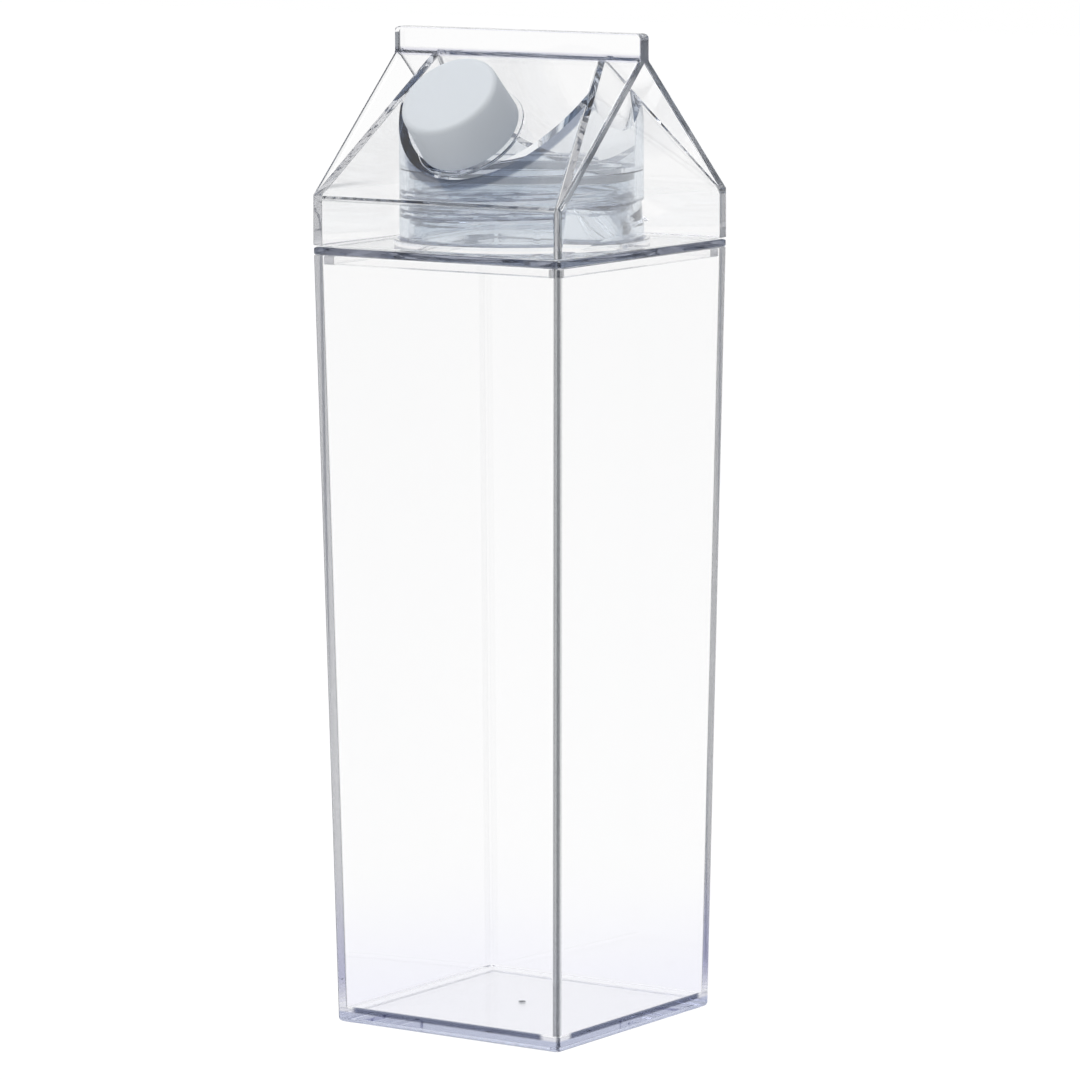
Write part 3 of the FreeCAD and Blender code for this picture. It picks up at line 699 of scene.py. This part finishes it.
def white_polypropylene():
    """White polypropylene, moulded with a satin surface: soft even shading, broad faint shine.

    A part of the light comes through the thin wall, so its inside is never dark.
    """
    material, tree = new_material("white_moulded_polypropylene")
    place = add_node(tree, "ShaderNodeTexCoord")
    grain = add_node(tree, "ShaderNodeTexNoise", inputs={"Scale": 2500.0, "Detail": 2.0},
                     Vector=place.outputs["Object"])
    bump = add_node(tree, "ShaderNodeBump", inputs={"Strength": 0.06, "Distance": 0.0001},
                    Height=grain.outputs[0])
    plastic = add_node(tree, "ShaderNodeBsdfPrincipled", inputs={
        "Base Color": linear("#E6EBF0"), "Roughness": 0.45, "IOR": POLYPROPYLENE_INDEX},
                       Normal=bump.outputs[0])
    through = add_node(tree, "ShaderNodeBsdfTranslucent", inputs={"Color": linear("#E8ECF0")})
    wall = add_node(tree, "ShaderNodeMixShader", inputs={0: THROUGH_CAP},
                    i1=plastic.outputs[0], i2=through.outputs[0])
    add_node(tree, "ShaderNodeOutputMaterial", Surface=wall.outputs[0])
    return material


def seen_directly(tree):
    """1 for rays that show the background, straight or through and off the object."""
    path = add_node(tree, "ShaderNodeLightPath")
    first = add_node(tree, "ShaderNodeMath", {"operation": "MAXIMUM"},
                     i0=path.outputs["Is Camera Ray"], i1=path.outputs["Is Glossy Ray"])
    return add_node(tree, "ShaderNodeMath", {"operation": "MAXIMUM"},
                    i0=first.outputs[0], i1=path.outputs["Is Transmission Ray"]).outputs[0]


def pale_studio_floor():
    """Matt white studio floor, which shows white and keeps a faint shadow."""
    material, tree = new_material("matt_white_studio_floor")
    paint = add_node(tree, "ShaderNodeBsdfDiffuse", inputs={"Color": linear("#E6E6E6")})
    glow = add_node(tree, "ShaderNodeEmission", inputs={"Color": linear("#FFFFFF"), "Strength": FLOOR_GLOW})
    share = add_node(tree, "ShaderNodeMath", {"operation": "MULTIPLY"}, inputs={1: FLOOR_SHARE},
                     i0=seen_directly(tree))
    mixed = add_node(tree, "ShaderNodeMixShader",
                     i0=share.outputs[0], i1=paint.outputs[0], i2=glow.outputs[0])
    add_node(tree, "ShaderNodeOutputMaterial", Surface=mixed.outputs[0])
    return material


# ---------------------------------------------------------------- build

resin, silicone, polypropylene = clear_moulded_resin(), milky_silicone(), white_polypropylene()
for made, node, slot, finish in (
    (make_cup(), "cup", "clear_plastic", resin),
    (make_shoulder(), "shoulder_neck", "clear_plastic", resin),
    (make_lid(), "gable_lid", "clear_plastic", resin),
    (make_seal(), "seal_ring", "seal_silicone", silicone),
    (make_cap(), "spout_cap", "white_plastic", polypropylene),
):
    made.data.materials.clear()
    made.data.materials.append(finish)
    if node != "spout_cap":
        even_shading(made)
    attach(made, "root")
    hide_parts(node)

# ---------------------------------------------------------------- floor, light, camera

FLOOR_REACH = 4.0  # metres each way
corners = np.array([(-1, -1, 0), (1, -1, 0), (1, 1, 0), (-1, 1, 0)]) * FLOOR_REACH / MM
floor = piece("floor", corners, [[0, 1, 2, 3]])
floor.data.materials.append(pale_studio_floor())

world = bpy.data.worlds.new("studio")
bpy.context.scene.world = world
world.use_nodes = True
world.node_tree.nodes.clear()
seen = seen_directly(world.node_tree)
level = add_node(world.node_tree, "ShaderNodeMapRange",
                 inputs={"To Min": ROOM_LIGHT, "To Max": SEEN_LIGHT}, Value=seen)
sky = add_node(world.node_tree, "ShaderNodeBackground", inputs={"Color": linear("#FFFFFF")},
               Strength=level.outputs[0])
add_node(world.node_tree, "ShaderNodeOutputWorld", Surface=sky.outputs[0])


def soft_lamp(name, place, target, size, power):
    """A large square lamp, aimed at a point."""
    lamp = bpy.data.lights.new(name, "AREA")
    lamp.shape, lamp.size, lamp.energy = "SQUARE", size, power
    made = bpy.data.objects.new(name, lamp)
    made.location = place
    made.rotation_euler = (Vector(target) - Vector(place)).to_track_quat("-Z", "Y").to_euler()
    bpy.context.scene.collection.objects.link(made)


soft_lamp("overhead_softbox", place=(-0.3, -0.5, 1.6), target=(0, 0, 0.15), size=1.2, power=12)

# the camera turns round the axis from -Y towards +X, and aims a little aside of the axis
azimuth, elevation, roll = math.radians(34.75), math.radians(7.83), math.radians(-0.21)
distance, height, aside = 1.597, 0.12414, 0.00457
right = Vector((math.cos(azimuth), math.sin(azimuth), 0))
back = Vector((math.sin(azimuth) * math.cos(elevation), -math.cos(azimuth) * math.cos(elevation),
               math.sin(elevation)))
up = back.cross(right)
level_right = right * math.cos(roll) + up * math.sin(roll)
level_up = up * math.cos(roll) - right * math.sin(roll)
target = Vector((0, 0, height)) + right * aside
lens = bpy.data.cameras.new("camera")
lens.sensor_width = 36.0
lens.lens = 207.04
lens.clip_end = 50.0
camera = bpy.data.objects.new("camera", lens)
turn = Matrix((level_right, level_up, back)).transposed().to_4x4()
camera.matrix_world = Matrix.Translation(target + back * distance) @ turn
bpy.context.scene.collection.objects.link(camera)
bpy.context.scene.camera = camera

scene = bpy.context.scene
scene.view_settings.view_transform = "Standard"
scene.cycles.max_bounces = BOUNCES
scene.cycles.transmission_bounces = BOUNCES
scene.cycles.glossy_bounces = BOUNCES
scene.cycles.transparent_max_bounces = BOUNCES
